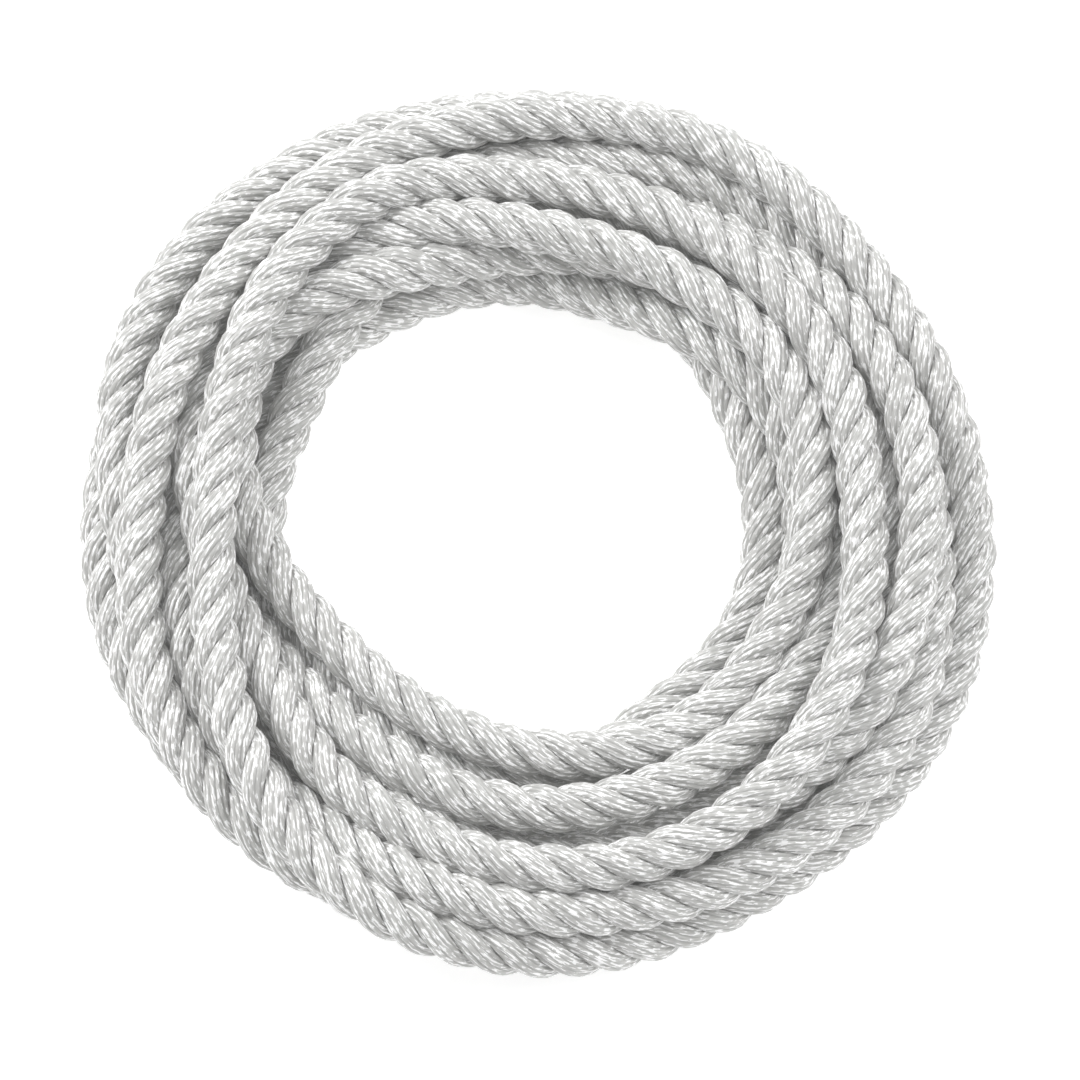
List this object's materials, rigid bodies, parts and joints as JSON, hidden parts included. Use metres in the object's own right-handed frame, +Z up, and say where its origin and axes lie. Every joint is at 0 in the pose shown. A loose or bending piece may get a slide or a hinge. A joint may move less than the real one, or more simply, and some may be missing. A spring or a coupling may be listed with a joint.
{
  "type": "coiled dock line",
  "caption": "Three-strand nylon rope wound into a loose round coil that lies flat, its whipped and heat-sealed ends tucked into the lowest layer.",
  "frame": {"origin": "centre of the coil's outline, on the surface that the coil lies on", "axes": "+Z up through the middle of the coil; -Y towards the side that the three-quarter view is taken from, +X to that viewer's right"},
  "size_m": [0.1827, 0.1866, 0.03],
  "materials": {
    "rope": "bright white multifilament nylon with a slight sheen",
    "twine": "waxed white polyester twine",
    "melted_nylon": "smooth, slightly yellowed where it was melted"
  },
  "bodies": {
    "root": {"rope_coil": "rope", "inner_end_whipping": "twine", "outer_end_whipping": "twine", "inner_end_melted_tip": "melted_nylon", "outer_end_melted_tip": "melted_nylon"}
  },
  "joints": []
}
